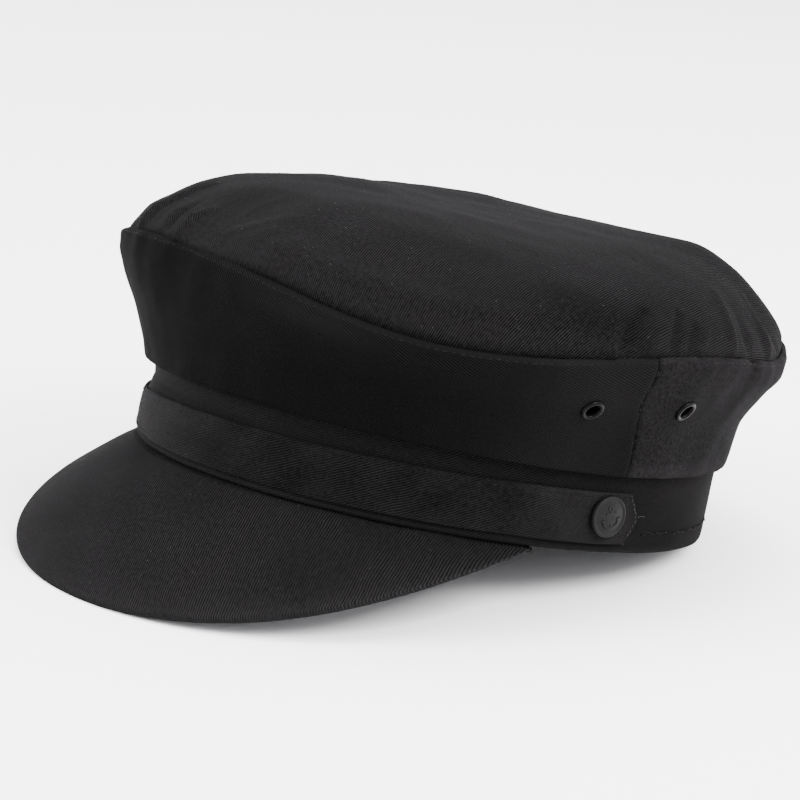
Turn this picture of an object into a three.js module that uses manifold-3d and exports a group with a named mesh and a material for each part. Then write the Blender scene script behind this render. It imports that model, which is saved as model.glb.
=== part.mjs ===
// A fisherman cap of black cotton twill, lying on a table as it rests by itself: on the back of its
// headband and on the front edge of its peak. Millimetres, +Z up. The peak points along -Y and the
// wearer's left is +X.
//
// Each piece is drawn in the cap's own frame, with the lower edge of the headband at z = 0. An angle is
// counted round the head from the middle of the front, towards +X. At the end the cap is tipped back.
import * as THREE from "three";
import { mergeVertices } from "three/addons/utils/BufferGeometryUtils.js";
import Module from "manifold-3d";

const wasm = await Module();
wasm.setup();

const degrees = Math.PI / 180;

// Headband, an upright oval ring
const headLength = 197;
const headWidth = 177;
const bandHeight = 26.5;
const bandWall = 2.2;
const bandTuck = 4.5;

// Crown: a side wall that flares from the band to a seam, and a puffed top panel
const sideHeight = 40;
const crownFlare = 18;
const crownHeight = 92;
const clothWall = 1.6;
const foldHeight = 2.4;

// Side seams, where the front and back panels of the side wall meet
const sideSeamAngle = 90.5;
const sideSeamSlant = -7;

// Peak, a covered board sewn in under the front of the band. It slopes less towards its ends, turns a
// little sideways there, and is bowed by a share of its reach. Taper and fullness shape its outline.
const peakReach = 55;
const peakSpread = 76;
const peakMiddleSlope = 50;
const peakEndSlope = 19;
const peakTurn = 0.34;
const peakBow = 0.04;
const peakTaper = 0.74;
const peakFullness = 0.32;
const peakWall = 3;
const peakEndWall = 1.2;
const peakTuck = 1.8;

// Strap laid round the front of the band
const strapHeight = 16.5;
const strapFoot = 3;
const strapWall = 1;
const strapEndAngle = 97;
const strapPoint = 5;
const strapTip = 2;

// Buttons that hold the ends of the strap
const buttonAngle = 91.5;
const buttonRadius = 7.4;
const buttonRise = 2.4;
const buttonRim = 1;
const anchorHeight = 7.6;
const anchorBar = 0.8;
const anchorRelief = 0.35;

// Eyelets, one on each side of each side seam
const eyeletAhead = 22;
const eyeletBehind = 17;
const eyeletRise = 0.555;
const eyeletHole = 2.1;
const eyeletTube = 0.5;
const eyeletFlange = 3.6;
const eyeletLip = 0.8;

// Air left between pieces that are sewn together, and how far the band's cloth is pressed in by the table
const gap = 0.3;
const pressedIn = 0.7;

// How finely the round pieces are divided
const crownSteps = 96;
const bandSteps = 64;
const strapSteps = 56;
const peakSteps = 40;
const discSteps = 24;
const eyeletSteps = 14;

// Reach of the side wall beyond the band, as shares of crownFlare, by share of its height
const sideShape = [
  { rise: 0.0, front: 0.02, frontQuarter: 0.03, side: 0.06, rearQuarter: 0.03, rear: 0.02 },
  { rise: 0.07, front: 0.06, frontQuarter: 0.08, side: 0.13, rearQuarter: 0.12, rear: 0.1 },
  { rise: 0.2, front: 0.09, frontQuarter: 0.2, side: 0.2, rearQuarter: 0.15, rear: 0.12 },
  { rise: 0.36, front: 0.15, frontQuarter: 0.41, side: 0.34, rearQuarter: 0.22, rear: 0.16 },
  { rise: 0.52, front: 0.23, frontQuarter: 0.67, side: 0.56, rearQuarter: 0.4, rear: 0.26 },
  { rise: 0.68, front: 0.31, frontQuarter: 0.9, side: 0.76, rearQuarter: 0.62, rear: 0.4 },
  { rise: 0.84, front: 0.38, frontQuarter: 1.05, side: 0.9, rearQuarter: 0.78, rear: 0.48 },
  { rise: 0.95, front: 0.38, frontQuarter: 1.06, side: 0.94, rearQuarter: 0.77, rear: 0.46 },
  { rise: 1.0, front: 0.3, frontQuarter: 0.93, side: 0.9, rearQuarter: 0.68, rear: 0.4 },
];

// Height of the crown seam above the band, as shares of sideHeight
const seamRise = { front: 1.01, frontQuarter: 0.82, side: 1.0, rearQuarter: 0.96, rear: 0.95 };

// Climb of the top panel from the seam to its middle, by share of the way in
const topShape = [
  { inward: 0.0, front: 0.0, frontQuarter: 0.0, side: 0.0, rearQuarter: 0.0, rear: 0.0 },
  { inward: 0.04, front: 0.27, frontQuarter: 0.25, side: 0.25, rearQuarter: 0.31, rear: 0.3 },
  { inward: 0.1, front: 0.51, frontQuarter: 0.46, side: 0.46, rearQuarter: 0.59, rear: 0.58 },
  { inward: 0.2, front: 0.73, frontQuarter: 0.68, side: 0.68, rearQuarter: 0.84, rear: 0.84 },
  { inward: 0.33, front: 0.89, frontQuarter: 0.85, side: 0.84, rearQuarter: 0.99, rear: 1.0 },
  { inward: 0.5, front: 0.98, frontQuarter: 0.95, side: 0.94, rearQuarter: 1.04, rear: 1.05 },
  { inward: 0.72, front: 1.01, frontQuarter: 1.0, side: 0.99, rearQuarter: 1.02, rear: 1.02 },
  { inward: 1.0, front: 1.0, frontQuarter: 1.0, side: 1.0, rearQuarter: 1.0, rear: 1.0 },
];

// Folds on both sides of the crown: angle and half width in degrees, reach from the crown seam as a
// share, and height as a share of foldHeight, with dents below zero
const topFolds = [
  { angle: 3, width: 5, reach: 0.3, height: -0.8 },
  { angle: 14, width: 7, reach: 0.45, height: 0.5 },
  { angle: 77, width: 4.5, reach: 0.2, height: -0.5 },
  { angle: 85, width: 4.5, reach: 0.32, height: -1.0 },
  { angle: 91, width: 4, reach: 0.3, height: 0.6 },
  { angle: 96, width: 4, reach: 0.26, height: -0.8 },
  { angle: 104, width: 4.5, reach: 0.4, height: 0.6 },
  { angle: 112, width: 4.5, reach: 0.35, height: -0.5 },
  { angle: 121, width: 5, reach: 0.45, height: 0.6 },
  { angle: 131, width: 5, reach: 0.35, height: -0.6 },
  { angle: 152, width: 7, reach: 0.4, height: -0.4 },
];
const sideFolds = [
  { angle: 4, width: 6, reach: 0.5, height: -0.4 },
  { angle: 17, width: 6, reach: 0.4, height: -0.35 },
  { angle: 52, width: 13, reach: 0.9, height: -0.4 },
  { angle: 112, width: 9, reach: 0.8, height: -0.5 },
  { angle: 127, width: 7, reach: 0.8, height: 0.4 },
  { angle: 150, width: 9, reach: 0.9, height: -0.4 },
];

// Rows of the peak from its edge to its seam: share of the reach, and share of the wall
const peakRows = [
  { reach: 1.0, wall: 0.4 },
  { reach: 0.97, wall: 1.0 },
  { reach: 0.72, wall: 1.0 },
  { reach: 0.46, wall: 1.0 },
  { reach: 0.22, wall: 1.0 },
  { reach: 0.0, wall: 1.0 },
];

const quarters = ["front", "frontQuarter", "side", "rearQuarter", "rear"];

// A smooth value at any angle, from a row's values every 45 degrees between the front and the rear: the
// sum of the cosine waves that passes through all five.
function roundHead(row, angle) {
  const last = quarters.length - 1;
  const share = (i) => (i === 0 || i === last ? 0.5 : 1);
  let value = 0;
  for (let wave = 0; wave <= last; wave += 1) {
    let height = 0;
    quarters.forEach((name, i) => {
      height += share(i) * row[name] * Math.cos((Math.PI * i * wave) / last);
    });
    value += ((2 / last) * share(wave) * height) * Math.cos(wave * angle);
  }
  return value;
}

// A table's value at any angle and any share of its first column, straight between its rows.
function fromTable(table, column, at, angle) {
  const next = Math.max(1, table.findIndex((row) => row[column] >= at));
  const low = table[next - 1];
  const high = table[next];
  const share = (at - low[column]) / (high[column] - low[column]);
  return THREE.MathUtils.lerp(roundHead(low, angle), roundHead(high, angle), share);
}

// A point at a height and at a distance outside the band's own oval.
function outsideBand(angle, reach, z) {
  const oval = 0.5 / Math.hypot(Math.cos(angle) / headLength, Math.sin(angle) / headWidth);
  const radius = oval + reach;
  return new THREE.Vector3(radius * Math.sin(angle), -radius * Math.cos(angle), z);
}

// How far the folds of a table lift the cloth at a share of the way from the crown seam.
function foldLift(table, angle, away) {
  const turned = Math.abs(Math.atan2(Math.sin(angle), Math.cos(angle))) / degrees;
  let lift = 0;
  for (const fold of table) {
    const across = Math.exp(-(((turned - fold.angle) / fold.width) ** 2));
    const along = away < fold.reach ? Math.sin(Math.PI * Math.sqrt(away / fold.reach)) : 0;
    lift += foldHeight * fold.height * across * along;
  }
  return lift;
}

function sidePoint(angle, rise) {
  const z = bandHeight + rise * sideHeight * roundHead(seamRise, angle);
  const flare = crownFlare * fromTable(sideShape, "rise", rise, angle);
  return outsideBand(angle, gap + clothWall + flare + foldLift(sideFolds, angle, 1 - rise), z);
}

function topPoint(angle, inward) {
  const seam = sidePoint(angle, 1);
  const climb = fromTable(topShape, "inward", inward, angle) * (crownHeight - seam.z);
  const height = seam.z + gap + climb + foldLift(topFolds, angle, inward);
  return new THREE.Vector3(seam.x * (1 - inward), seam.y * (1 - inward), height);
}

// The outward direction of a grid of points at one of them. A grid holds columns that follow each other
// round the head, and each column runs upwards or inwards over the outside of the piece.
function outward(grid, i, j, isRing) {
  const last = grid.length - 1;
  const before = isRing ? grid[(i + last) % grid.length] : grid[Math.max(i - 1, 0)];
  const after = isRing ? grid[(i + 1) % grid.length] : grid[Math.min(i + 1, last)];
  const above = grid[i][Math.min(j + 1, grid[i].length - 1)];
  const below = grid[i][Math.max(j - 1, 0)];
  const along = new THREE.Vector3().subVectors(after[j], before[j]);
  const up = new THREE.Vector3().subVectors(above, below);
  if (along.length() < gap) {
    return new THREE.Vector3(0, 0, 1);
  }
  return along.cross(up).normalize();
}

// The inside of a cloth whose outside is the grid. In the sewn row the cloth is cut level, so that the
// two pieces that meet in a seam have parallel edges.
function inside(grid, wall, isRing, sewnRow) {
  return grid.map((column, i) =>
    column.map((point, j) => {
      const level = new THREE.Vector3(point.x, point.y, 0).normalize();
      return point.clone().addScaledVector(j === sewnRow ? level : outward(grid, i, j, isRing), -wall);
    })
  );
}

// One closed skin over the outside and the inside of a cloth, with its edges between them.
function clothGeometry(outer, inner, isRing) {
  const columns = outer.length;
  const rows = outer[0].length;
  const positions = [...outer.flat(), ...inner.flat()].flatMap((point) => [point.x, point.y, point.z]);
  const outerAt = (i, j) => (i % columns) * rows + j;
  const innerAt = (i, j) => columns * rows + outerAt(i, j);
  const end = columns - 1;
  const index = [];
  const quad = (a, b, c, d) => index.push(a, b, c, a, c, d);
  for (let i = 0; i < (isRing ? columns : columns - 1); i += 1) {
    for (let j = 0; j < rows - 1; j += 1) {
      quad(outerAt(i, j), outerAt(i + 1, j), outerAt(i + 1, j + 1), outerAt(i, j + 1));
      quad(innerAt(i, j), innerAt(i, j + 1), innerAt(i + 1, j + 1), innerAt(i + 1, j));
    }
    quad(innerAt(i, 0), innerAt(i + 1, 0), outerAt(i + 1, 0), outerAt(i, 0));
    quad(outerAt(i, rows - 1), outerAt(i + 1, rows - 1), innerAt(i + 1, rows - 1), innerAt(i, rows - 1));
  }
  if (!isRing) {
    for (let j = 0; j < rows - 1; j += 1) {
      quad(innerAt(0, j), outerAt(0, j), outerAt(0, j + 1), innerAt(0, j + 1));
      quad(outerAt(end, j), innerAt(end, j), innerAt(end, j + 1), outerAt(end, j + 1));
    }
  }
  return welded(positions, index);
}

// Merges the corners that coincide, and leaves out the triangles that have shrunk to nothing.
function welded(positions, index) {
  const loose = new THREE.BufferGeometry();
  loose.setAttribute("position", new THREE.Float32BufferAttribute(positions, 3));
  loose.setIndex(index);
  const geometry = mergeVertices(loose, 1e-4);
  const corners = geometry.index.array;
  const kept = [];
  for (let i = 0; i < corners.length; i += 3) {
    const [a, b, c] = corners.slice(i, i + 3);
    if (a !== b && b !== c && c !== a) {
      kept.push(a, b, c);
    }
  }
  geometry.setIndex(kept);
  return geometry;
}

function toSolid(geometry) {
  const bare = geometry.clone();
  bare.deleteAttribute("normal");
  bare.deleteAttribute("uv");
  const merged = mergeVertices(bare, 1e-4);
  const vertProperties = new Float32Array(merged.attributes.position.array);
  const triVerts = new Uint32Array(merged.index.array);
  return new wasm.Manifold(new wasm.Mesh({ numProp: 3, vertProperties, triVerts }));
}

function toGeometry(solid) {
  const mesh = solid.getMesh();
  return welded(Array.from(mesh.vertProperties), Array.from(mesh.triVerts));
}

// Frame of a piece of trim that lies on the side wall or the strap: its own +Z points out and +Y up.
function seatOn(surface, angle, height) {
  const step = 0.01;
  const place = surface(angle, height);
  const along = surface(angle + step, height).sub(surface(angle - step, height)).normalize();
  const up = surface(angle, height + step).sub(surface(angle, height - step)).normalize();
  const out = new THREE.Vector3().crossVectors(along, up).normalize();
  up.crossVectors(out, along);
  return new THREE.Matrix4().makeBasis(along, up, out).setPosition(place);
}

// Angle of the side seam, which leans forward as it rises.
function sideSeam(rise) {
  return (sideSeamAngle + sideSeamSlant * (rise - 0.5)) * degrees;
}

// The angle that the sewn edges of two panels keep from their seam.
const seamMargin = gap / 2 / (headWidth / 2);

function eyeletSeat(side, isFront) {
  const away = isFront ? -eyeletAhead : eyeletBehind;
  const angle = sideSeam(eyeletRise) + away / (headWidth / 2 + crownFlare / 2);
  return seatOn(sidePoint, side * angle, eyeletRise);
}

// One panel of the side wall, from one side seam to the other, with its eyelet holes.
function crownPanel(isFront) {
  const steps = crownSteps / 2;
  const outer = [];
  for (let i = 0; i <= steps; i += 1) {
    const share = i / steps;
    outer.push(
      sideShape.map(({ rise }) => {
        const edge = sideSeam(rise) - seamMargin;
        const start = isFront ? -edge : edge + 2 * seamMargin;
        const end = isFront ? edge : 2 * Math.PI - edge - 2 * seamMargin;
        return sidePoint(THREE.MathUtils.lerp(start, end, share), rise);
      })
    );
  }
  const inner = inside(outer, clothWall, false, sideShape.length - 1);
  let panel = toSolid(clothGeometry(outer, inner, false));
  for (const side of [1, -1]) {
    const hole = new THREE.CylinderGeometry(eyeletCut, eyeletCut, 6 * clothWall, eyeletSteps);
    hole.rotateX(Math.PI / 2);
    hole.applyMatrix4(eyeletSeat(side, isFront));
    panel = panel.subtract(toSolid(hole));
  }
  return toGeometry(panel);
}

// Radius of the hole that is cut for an eyelet's tube.
const eyeletCut = eyeletHole + eyeletTube + gap;

function crownTop() {
  const outer = [];
  for (let i = 0; i < crownSteps; i += 1) {
    const angle = (2 * Math.PI * i) / crownSteps;
    outer.push(topShape.map(({ inward }) => topPoint(angle, inward)));
  }
  return clothGeometry(outer, inside(outer, clothWall, true, 0), true);
}

function headband() {
  const heights = [0, bandHeight / 2, bandHeight, bandHeight + bandTuck];
  const outer = [];
  for (let i = 0; i < bandSteps; i += 1) {
    const angle = (2 * Math.PI * i) / bandSteps;
    outer.push(heights.map((z) => outsideBand(angle, 0, z)));
  }
  return clothGeometry(outer, inside(outer, bandWall, true), true);
}

function strapSurface(angle, rise) {
  return outsideBand(angle, gap + strapWall, strapFoot + strapHeight * rise);
}

// The strap narrows to a blunt point at each end.
function frontStrap() {
  const end = strapEndAngle * degrees;
  const tip = strapPoint / (headWidth / 2);
  const angles = [-end - tip];
  for (let i = 0; i <= strapSteps; i += 1) {
    angles.push(THREE.MathUtils.lerp(-end, end, i / strapSteps));
  }
  angles.push(end + tip);
  const outer = angles.map((angle) => {
    const half = Math.abs(angle) > end ? strapTip / strapHeight / 2 : 0.5;
    return [0.5 - half, 0.5, 0.5 + half].map((rise) => strapSurface(angle, rise));
  });
  return clothGeometry(outer, inside(outer, strapWall, false), false);
}

// The upper side of the peak, by share of its spread to one side and share of its reach.
function peakPoint(spread, share) {
  const angle = spread * peakSpread * degrees;
  const width = peakReach * (1 - spread ** 2) ** peakTaper * (1 + peakFullness * spread ** 2);
  const slope = THREE.MathUtils.lerp(peakMiddleSlope, peakEndSlope, spread ** 2) * degrees;
  const bow = peakBow * width * 4 * share * (1 - share);
  const level = width * share * Math.cos(slope) + bow * Math.sin(slope);
  const drop = width * share * Math.sin(slope) - bow * Math.cos(slope);
  const turn = peakTurn * angle;
  const start = outsideBand(angle, 0, -gap);
  return start.add(new THREE.Vector3(level * Math.sin(turn), -level * Math.cos(turn), -drop));
}

function peak() {
  const spreads = Array.from({ length: peakSteps + 1 }, (_, i) => (2 * i) / peakSteps - 1);
  const upper = spreads.map((spread) => [
    ...peakRows.map(({ reach }) => peakPoint(spread, reach)),
    outsideBand(spread * peakSpread * degrees, -peakTuck, -gap),
  ]);
  const walls = [...peakRows.map(({ wall }) => wall), 1];
  const lower = upper.map((column, i) =>
    column.map((point, j) => {
      const wall = walls[j] * THREE.MathUtils.lerp(peakWall, peakEndWall, spreads[i] ** 6);
      return point.clone().addScaledVector(outward(upper, i, Math.max(j, 1), false), -wall);
    })
  );
  return clothGeometry(upper, lower, false);
}

// An anchor, drawn upright round the middle of a button.
function anchorShapes() {
  const half = anchorHeight / 2;
  const bar = anchorBar / 2;
  const shank = new THREE.Shape();
  shank.moveTo(-bar, -half);
  shank.lineTo(bar, -half);
  shank.lineTo(bar, half * 0.55);
  shank.lineTo(-bar, half * 0.55);
  const stock = new THREE.Shape();
  stock.moveTo(-half * 0.45, half * 0.25);
  stock.lineTo(half * 0.45, half * 0.25);
  stock.lineTo(half * 0.45, half * 0.25 + anchorBar);
  stock.lineTo(-half * 0.45, half * 0.25 + anchorBar);
  const ring = new THREE.Shape();
  ring.absarc(0, half * 0.75, half * 0.28, 0, 2 * Math.PI);
  ring.holes.push(new THREE.Path().absarc(0, half * 0.75, half * 0.12, 0, 2 * Math.PI, true));
  const arms = new THREE.Shape();
  arms.absarc(0, 0, half, -160 * degrees, -20 * degrees);
  arms.lineTo(half * 0.62, -half * 0.2);
  arms.absarc(0, 0, half - anchorBar * 1.3, -20 * degrees, -160 * degrees, true);
  return [shank, stock, ring, arms];
}

function button() {
  const rimInside = buttonRadius - buttonRim;
  const profile = [
    new THREE.Vector2(0, 0),
    new THREE.Vector2(buttonRadius - 0.5, 0),
    new THREE.Vector2(buttonRadius, 0.5),
    new THREE.Vector2(buttonRadius, buttonRise * 0.6),
    new THREE.Vector2(rimInside + buttonRim / 2, buttonRise * 0.85),
    new THREE.Vector2(rimInside, buttonRise * 0.7),
    new THREE.Vector2(rimInside * 0.6, buttonRise * 0.9),
    new THREE.Vector2(0, buttonRise),
  ];
  const disc = new THREE.LatheGeometry(profile, discSteps);
  disc.rotateX(Math.PI / 2);
  let solid = toSolid(disc);
  for (const shape of anchorShapes()) {
    const depth = buttonRise * 0.5 + anchorRelief;
    const relief = new THREE.ExtrudeGeometry(shape, { depth, bevelEnabled: false, curveSegments: 5 });
    relief.translate(0, 0, buttonRise * 0.5);
    solid = solid.add(toSolid(relief));
  }
  return toGeometry(solid);
}

// A rolled flange outside the cloth and a tube through it.
function eyelet() {
  const tubeOutside = eyeletHole + eyeletTube;
  const tubeEnd = -clothWall - 2 * gap;
  const profile = [
    new THREE.Vector2(eyeletHole, tubeEnd),
    new THREE.Vector2(tubeOutside, tubeEnd),
    new THREE.Vector2(tubeOutside, gap),
    new THREE.Vector2(eyeletFlange, gap),
    new THREE.Vector2(eyeletFlange, gap + eyeletLip / 2),
    new THREE.Vector2((eyeletFlange + eyeletHole) / 2, gap + eyeletLip),
    new THREE.Vector2(eyeletHole, gap + eyeletLip / 2),
    new THREE.Vector2(eyeletHole, tubeEnd),
  ];
  const ring = new THREE.LatheGeometry(profile, eyeletSteps);
  ring.rotateX(Math.PI / 2);
  return toGeometry(toSolid(ring));
}

const twill = { color: 0x1d1c1e, roughness: 0.92, metalness: 0 };
const gunmetal = { color: 0x3c3d40, roughness: 0.45, metalness: 0.7 };
const enamel = { color: 0x0d0d0e, roughness: 0.3, metalness: 0.4 };

const cap = new THREE.Group();

function addPiece(name, geometry, finish, place) {
  const piece = new THREE.Mesh(geometry, new THREE.MeshStandardMaterial(finish));
  piece.name = name;
  if (place) {
    place.decompose(piece.position, piece.quaternion, piece.scale);
  }
  cap.add(piece);
  return piece;
}

const peakGeometry = peak();
const bandGeometry = headband();

// The cap tips back about the pressed rear edge of the band until the peak's lowest point meets the table.
const rear = headLength / 2;
const peakCorners = peakGeometry.attributes.position;
let restTilt = 0;
for (let i = 0; i < peakCorners.count; i += 1) {
  const tilt = Math.atan2(pressedIn - peakCorners.getZ(i), rear - peakCorners.getY(i));
  restTilt = Math.max(restTilt, tilt);
}

// The cloth of the band that would reach below the table is pressed flat on it.
const bandCorners = bandGeometry.attributes.position;
for (let i = 0; i < bandCorners.count; i += 1) {
  const table = pressedIn - (rear - bandCorners.getY(i)) * Math.tan(restTilt);
  bandCorners.setZ(i, Math.max(bandCorners.getZ(i), table));
}

addPiece("headband", bandGeometry, twill);
addPiece("visor", peakGeometry, twill);
addPiece("front_strap", frontStrap(), twill);
addPiece("crown_front_panel", crownPanel(true), twill);
addPiece("crown_back_panel", crownPanel(false), twill);
addPiece("crown_top", crownTop(), twill);

const buttonGeometry = button();
const eyeletGeometry = eyelet();
for (const [name, side] of [["left", 1], ["right", -1]]) {
  const buttonSeat = seatOn(strapSurface, side * buttonAngle * degrees, 0.5);
  buttonSeat.multiply(new THREE.Matrix4().makeTranslation(0, 0, gap));
  addPiece(`button_${name}`, buttonGeometry, gunmetal, buttonSeat);
  addPiece(`eyelet_${name}_front`, eyeletGeometry, enamel, eyeletSeat(side, true));
  addPiece(`eyelet_${name}_back`, eyeletGeometry, enamel, eyeletSeat(side, false));
}

// The table is z = 0, under the middle of the cap.
cap.rotation.x = -restTilt;
cap.updateMatrixWorld(true);
const bounds = new THREE.Box3().setFromObject(cap, true);
const middle = bounds.getCenter(new THREE.Vector3());
cap.position.set(-middle.x, -middle.y, -bounds.min.z);

const model = new THREE.Group();
model.add(cap);

export default model;
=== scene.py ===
# A fisherman cap of black cotton twill, resting on a pale table on the back of its band and on the
# front edge of its peak. The pieces follow in the order in which such a cap is sewn together.
import math

import bmesh
import bpy
import numpy as np
from mathutils import Matrix, Vector


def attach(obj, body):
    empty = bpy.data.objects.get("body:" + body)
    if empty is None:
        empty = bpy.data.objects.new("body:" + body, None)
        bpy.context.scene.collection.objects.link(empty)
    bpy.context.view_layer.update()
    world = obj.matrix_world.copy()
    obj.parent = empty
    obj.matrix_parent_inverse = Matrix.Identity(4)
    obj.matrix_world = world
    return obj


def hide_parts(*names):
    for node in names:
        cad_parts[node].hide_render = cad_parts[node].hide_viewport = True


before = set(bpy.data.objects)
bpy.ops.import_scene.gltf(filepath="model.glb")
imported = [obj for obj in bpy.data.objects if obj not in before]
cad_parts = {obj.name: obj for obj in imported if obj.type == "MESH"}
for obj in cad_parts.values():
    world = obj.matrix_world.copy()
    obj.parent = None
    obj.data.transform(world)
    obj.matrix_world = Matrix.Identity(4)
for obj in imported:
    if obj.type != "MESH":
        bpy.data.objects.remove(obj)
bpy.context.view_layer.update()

# Headband
# An upright oval ring of twill, folded over a stiff tape, with its lower edge turned up and stitched.
# It is drawn upright in millimetres and laid on the table as it is made.
HEAD_LENGTH = 197
HEAD_WIDTH = 177
BAND_HEIGHT = 26.5
BAND_WALL = 2.2
BAND_TUCK = 4.5
BAND_RADIUS = HEAD_WIDTH / 2
# Tone of the band's black twill. The one black twill has its own tone on each piece, set to how bright that
# piece shows under the lamps: painted light and shade.
BAND_LIT_BLACK = 0.0024
HEM_RISE = 6.5
BARE_BAND_ANGLE = 1.75
REST_TILT = 0.18713
REST_PLACE = (0, 10.491, 17.637)
PRESSED_IN = 0.7
FRONT_PRESS = 2.3
FRONT_PRESS_HEIGHT = 20.5
ROUND_STEPS = 480
FULL_TURN = 2 * math.pi


def on_table(points):
    """The cap's own millimetres, tipped back as it rests and turned into metres."""
    points = np.asarray(points, dtype=float)
    cos, sin = math.cos(REST_TILT), math.sin(REST_TILT)
    x, y, z = points[..., 0], points[..., 1], points[..., 2]
    laid = np.stack([x, y * cos + z * sin, z * cos - y * sin], -1)
    return (laid + np.array(REST_PLACE)) / 1000


def off_front(angle):
    """The way round from the front: up to half a turn to the wearer's left, or below nought to the right."""
    return np.angle(np.exp(1j * angle))


def line_dent(distance, width):
    """Depth 1 along the line where the distance is nought, fading over the width."""
    return np.exp(-((distance / width) ** 2))


def outside_band(angle, reach, height):
    """A point at an angle from the front, a distance outside the band's oval, and a height. In front
    the band is pressed in a little near its upper edge."""
    angle, reach, height = np.broadcast_arrays(angle, reach, height)
    oval = 0.5 / np.hypot(np.cos(angle) / HEAD_LENGTH, np.sin(angle) / HEAD_WIDTH)
    pressed = FRONT_PRESS * line_dent(off_front(angle), 0.85) * line_dent(height - FRONT_PRESS_HEIGHT, 5.5)
    radius = oval + reach - pressed
    return np.stack([radius * np.sin(angle), -radius * np.cos(angle), height], -1)


def right_front(angle, middle=0.6, width=0.4):
    """Nearly 1 at the wearer's right front, where the soft cap has sunk, and nought elsewhere."""
    return line_dent(off_front(angle) + middle, width)


def unevenness(points, length, seed):
    """Soft random hills and dents, about 1 high, with a given distance between them."""
    waves = 16
    rng = np.random.default_rng(seed)
    ways = rng.normal(size=(waves, 3))
    ways *= rng.uniform(0.6, 1.5, (waves, 1)) / np.linalg.norm(ways, axis=1, keepdims=True)
    phases = rng.uniform(0, FULL_TURN, waves)
    return np.sin(points @ ways.T * (FULL_TURN / length) + phases).sum(-1) / math.sqrt(waves)


def run_lengths(points, axis):
    """Lengths along one way of a grid, from its first row or column."""
    steps = np.linalg.norm(np.diff(points, axis=axis), axis=-1)
    first = np.zeros_like(np.take(steps, [0], axis=axis))
    return np.concatenate([first, np.cumsum(steps, axis=axis)], axis=axis)


def linked(name, data):
    """A new object in the scene."""
    thing = bpy.data.objects.new(name, data)
    bpy.context.collection.objects.link(thing)
    return thing


def shown(name, mesh):
    """A new piece with smooth faces."""
    mesh.polygons.foreach_set("use_smooth", [True] * len(mesh.polygons))
    return linked(name, mesh)


def cloth(name, columns, ring, weave=None, wear_and_light=0.0):
    """One closed skin. Each column of points runs once round the cloth's cut section, outside first,
    and the columns follow each other round the head. The map `weave` holds millimetres of cloth."""
    count, deep = columns.shape[:2]
    if weave is None:
        closed = np.concatenate([columns, columns[:1]], 0) if ring else columns
        middle = closed[:, deep // 4:deep // 4 + 1]
        along = np.repeat(run_lengths(middle, 0), deep + 1, axis=1)
        across = run_lengths(np.concatenate([closed, closed[:, :1]], 1), 1)
        weave = np.stack([along, across], -1)
    spans = count if ring else count - 1
    i, j = np.meshgrid(np.arange(spans), np.arange(deep), indexing="ij")
    right, above = (i + 1) % count, (j + 1) % deep
    quads = np.stack([i * deep + j, right * deep + j, right * deep + above, i * deep + above], -1)
    maps = np.stack([weave[i, j], weave[i + 1, j], weave[i + 1, j + 1], weave[i, j + 1]], 2)
    quads, maps = quads.reshape(-1, 4), maps.reshape(-1, 4, 2)
    if not ring:
        k = np.arange(deep // 2 - 1)
        for at, turn in ((0, 1), (count - 1, -1)):
            ends = np.stack([k, k + 1, deep - 2 - k, deep - 1 - k], -1)[:, ::turn]
            quads = np.concatenate([quads, ends + at * deep])
            maps = np.concatenate([maps, weave[at, ends]])
    mesh = bpy.data.meshes.new(name)
    mesh.from_pydata(on_table(columns).reshape(-1, 3).tolist(), [], quads.tolist())
    layer = mesh.uv_layers.new(name="weave")
    layer.uv.foreach_set("vector", maps.reshape(-1).astype(np.float32))
    # Each point's tone shift for the twill: real wear, and painted light and shade.
    tone_shift = mesh.attributes.new("wear_and_light", "FLOAT", "POINT")
    tone_shift.data.foreach_set("value", np.broadcast_to(wear_and_light, (count, deep)).reshape(-1).astype(np.float32))
    shape = bmesh.new()
    shape.from_mesh(mesh)
    bmesh.ops.remove_doubles(shape, verts=shape.verts, dist=2e-6)
    shape.to_mesh(mesh)
    shape.free()
    return shown(name, mesh)


def add_node(tree, kind, inputs=None, **settings):
    """A node with its settings. Each input is a value, or the output that feeds it."""
    node = tree.nodes.new(kind)
    for key, value in settings.items():
        setattr(node, key, value)
    for key, value in (inputs or {}).items():
        if isinstance(value, bpy.types.NodeSocket):
            tree.links.new(value, node.inputs[key])
        else:
            node.inputs[key].default_value = value
    return node


def reckon(tree, operation, a, b=0.0):
    return add_node(tree, "ShaderNodeMath", {0: a, 1: b}, operation=operation).outputs[0]


def noise(tree, place, scale, **settings):
    settings = {key.capitalize(): value for key, value in settings.items()}
    return add_node(tree, "ShaderNodeTexNoise", {"Vector": place, "Scale": scale, **settings}).outputs[0]


def plain_finish(name, levels):
    """A new material, with the levels that are the same all over it set on its shader."""
    finish = bpy.data.materials.new(name)
    finish.use_nodes = True
    shader = finish.node_tree.nodes["Principled BSDF"]
    for socket, level in levels.items():
        shader.inputs[socket].default_value = level
    return finish, finish.node_tree, shader


def toned(tree, shader, factor, tone, tint, shares):
    """Runs the colour between two shares of a tone as a factor rises."""
    ramp = add_node(tree, "ShaderNodeValToRGB", {"Fac": factor})
    for element, share in zip(ramp.color_ramp.elements, shares):
        element.color = (*(tone * share * part for part in tint), 1)
    tree.links.new(ramp.outputs["Color"], shader.inputs["Base Color"])


def roughened(tree, shader, factor, low, high):
    """Runs the roughness between two levels as a factor rises."""
    rough = add_node(tree, "ShaderNodeMapRange", {"Value": factor, "To Min": low, "To Max": high})
    tree.links.new(rough.outputs[0], shader.inputs["Roughness"])


def embossed(tree, shader, height, strength, depth):
    """Raises fine relief on the surface, its depth in metres."""
    bump = add_node(tree, "ShaderNodeBump", {"Height": height, "Strength": strength, "Distance": depth})
    tree.links.new(bump.outputs[0], shader.inputs["Normal"])


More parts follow.
